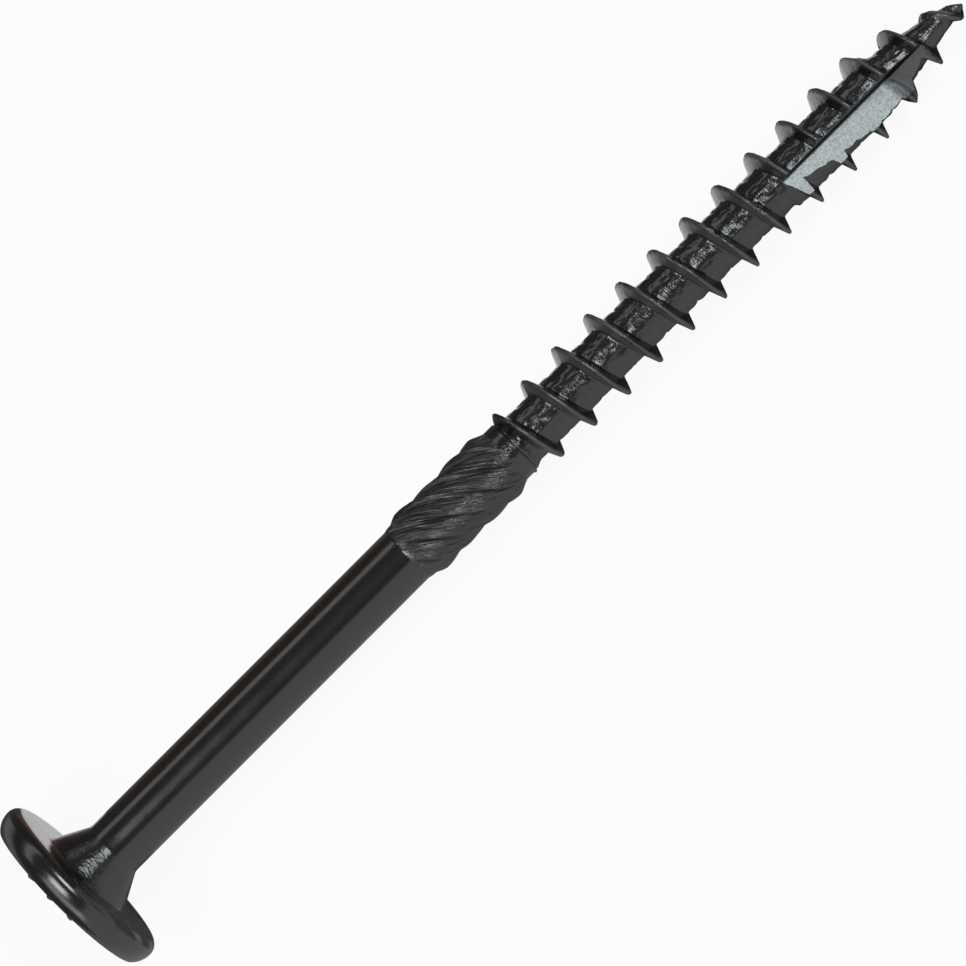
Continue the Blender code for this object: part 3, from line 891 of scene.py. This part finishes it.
HEAD_FAR_GLOW = 0.42
THREAD_REACH = 0.0055
SEAT_PLACE = face_centre[0] + MM * 2.0
HEAD_PLACE = face_centre[0] + MM * 6.0
MILLED_PLACE = face_centre[0] + MM * 40.0
THREAD_PLACE = face_centre[0] + MM * 50.0


def white_sheet():
    """On the near side the glow in the gloss is u / (u + spread), with u the distance past its start,
    a painted shadow that is darkest close to the screw. On the far side it is a band between two
    distances, at the head and at the thread, and a second, dimmer band lies far beyond the head;
    both bands are painted light."""
    material = bpy.data.materials.new("white_sheet")
    material.use_nodes = True
    tree = material.node_tree
    shader = tree.nodes["Principled BSDF"]
    shader.inputs["Base Color"].default_value = FLOOR_COLOUR
    shader.inputs["Roughness"].default_value = FLOOR_ROUGHNESS
    sheet = Wire(tree)
    place = sheet.node("ShaderNodeTexCoord", output="Object")
    along = sheet.node("ShaderNodeSeparateXYZ", None, {"Vector": place}, output="X")
    far = sheet.node("ShaderNodeSeparateXYZ", None, {"Vector": place}, output="Y")
    at_head = along.falling(HEAD_PLACE, MM)
    at_thread = along.rising(THREAD_PLACE, MM)
    start = at_head * (NEAR_START_AT_HEAD - NEAR_START) + at_thread * (NEAR_START_AT_THREAD - NEAR_START)
    # Painted shadow: the near side glows less close to the screw
    u = (-1 * far - NEAR_START - start).maths("MAXIMUM", 0.0)
    near_side = u / (u + NEAR_SPREAD) * NEAR_GLOW
    reach = at_head * HEAD_REACH + at_thread * THREAD_REACH
    far_side = far.rising(FAR_START, MM / 3) * far.falling(reach, MM * 0.4)
    beyond = far.rising(HEAD_FAR_START, MM * 20 / 3) * far.falling(HEAD_FAR_END, MM * 50 / 3)
    beyond = beyond * along.falling(SEAT_PLACE, MM * 2) * HEAD_FAR_GLOW

    # Painted reflection: a brown band in the gloss, beyond the far dark band
    brown = far.rising(BROWN_START, MM * 2.5) * far.falling(BROWN_END, MM * 5)
    past_shank = along.rising(MILLED_PLACE, MM)
    brown = brown * (1 - at_head) * (1 - past_shank * (1 - BROWN_PAST_SHANK))
    under_thread = far.falling(0.0, MM) * at_thread
    dark = under_thread.between(brown.between(DARK_REFLECTION_COLOUR, BROWN_REFLECTION_COLOUR), SHADED_COLOUR)
    # Painted reflection: the dark surroundings and the white glowing bands that only the gloss of the
    # screw sees
    dark_reflection = sheet.node("ShaderNodeEmission", None, {"Color": dark})
    white = sheet.node("ShaderNodeEmission", None, {"Color": WHITE})
    gloss = sheet.node("ShaderNodeMixShader", None, {0: near_side + far_side + beyond, 1: dark_reflection, 2: white})

    camera_ray = sheet.node("ShaderNodeLightPath", output="Is Camera Ray")
    glossy_ray = sheet.node("ShaderNodeLightPath", output="Is Glossy Ray")
    clear_ray = sheet.node("ShaderNodeLightPath", output="Is Transmission Ray")
    lit = Wire(tree, shader.outputs["BSDF"])
    seen = sheet.node("ShaderNodeMixShader", None, {0: camera_ray * FLOOR_GLOW, 1: lit, 2: white})
    whole = sheet.node("ShaderNodeMixShader", None, {0: glossy_ray + clear_ray, 1: seen, 2: gloss})
    tree.links.new(whole.socket, tree.nodes["Material Output"].inputs["Surface"])
    return material


edge = FLOOR_SIZE / 2
floor_mesh = bpy.data.meshes.new("floor")
corners = [(-edge, -edge, 0), (edge, -edge, 0), (edge, edge, 0), (-edge, edge, 0)]
floor_mesh.from_pydata(corners, [], [(0, 1, 2, 3)])
floor_mesh.materials.append(white_sheet())
floor = bpy.data.objects.new("floor", floor_mesh)
bpy.context.scene.collection.objects.link(floor)

# Lamps
# Two soft lamps stand over the tip and over the head, a little to the far side. One panel lights
# the face of the head, a large one leans over the near side, and a narrow strip stands on the far
# side. The studio round them is dark grey, and white behind the floor.
LAMP_TARGET = face_centre + MM * 46.0 * to_tip
STUDIO_COLOUR = (0.11, 0.11, 0.112, 1)


def turned_to(x, y, z):
    """The turn that brings an object's own axes to three directions."""
    return Matrix(np.array([x, y, z]).T.tolist()).to_euler()


def lamp(name, tip_turn, side_turn, distance, size, radiance, colour):
    """A rectangular lamp that faces the screw, placed by its turn from straight above, towards the
    tip and towards the near side. Power = radiance x area x pi."""
    direction = upwards * cos(tip_turn) * cos(side_turn) + to_tip * sin(tip_turn) * cos(side_turn)
    direction = direction + sideways * sin(side_turn)
    light = bpy.data.lights.new(name, "AREA")
    light.shape = "RECTANGLE"
    light.size, light.size_y = size
    light.energy = radiance * size[0] * size[1] * pi
    light.color = colour
    made = bpy.data.objects.new(name, light)
    made.location = LAMP_TARGET + direction * distance
    across = np.cross(to_tip, direction)
    across /= np.linalg.norm(across)
    made.rotation_euler = turned_to(np.cross(across, direction), across, direction)
    bpy.context.scene.collection.objects.link(made)


lamp("tip_lamp", radians(29.5), radians(-11), 0.40, (0.14, 0.17), 8.0, (0.94, 1.0, 1.0))
lamp("head_lamp", radians(-27), radians(-13), 0.42, (0.15, 0.18), 6.2, (0.96, 1.0, 0.99))
lamp("head_panel", radians(-52), radians(0), 0.42, (0.14, 0.4), 1.6, (0.98, 0.97, 1.0))
lamp("near_panel", radians(0), radians(57), 0.36, (1.2, 0.47), 0.54, (0.98, 0.96, 1.0))
lamp("far_strip", radians(0), radians(-70), 0.45, (0.7, 0.12), 0.95, (1.0, 0.98, 0.9))

world = bpy.data.worlds.new("studio")
bpy.context.scene.world = world
world.use_nodes = True
straight = Wire(world.node_tree).node("ShaderNodeLightPath", output="Is Camera Ray")
studio = straight.between(STUDIO_COLOUR, WHITE)
world.node_tree.links.new(studio.socket, world.node_tree.nodes["Background"].inputs["Color"])

# Camera
# Straight above the shank and square to it, turned so that the screw runs from the lower left to
# the upper right, and shifted to bring the middle of the screw to the middle of the frame.
CAMERA_DISTANCE = 0.300
CAMERA_STATION = 44.4
CAMERA_TURN = radians(45.03)
AIM_STATION = 46.4
AIM_SIDE = 0.225
FRAME_WIDTH = 0.0765
SENSOR = 36.0
camera = bpy.data.cameras.new("camera")
camera.sensor_width = SENSOR
camera.lens = SENSOR * CAMERA_DISTANCE / FRAME_WIDTH
camera.clip_start, camera.clip_end = 0.01, 10
eye = bpy.data.objects.new("camera", camera)
right = to_tip * cos(CAMERA_TURN) + sideways * sin(CAMERA_TURN)
above = np.cross(upwards, right)
aim = MM * ((AIM_STATION - CAMERA_STATION) * to_tip + AIM_SIDE * sideways)
camera.shift_x, camera.shift_y = np.dot(aim, right) / FRAME_WIDTH, np.dot(aim, above) / FRAME_WIDTH
eye.location = face_centre + MM * CAMERA_STATION * to_tip + CAMERA_DISTANCE * upwards
eye.rotation_euler = turned_to(right, above, upwards)
bpy.context.scene.collection.objects.link(eye)
bpy.context.scene.camera = eye

bpy.context.scene.view_settings.view_transform = "Standard"
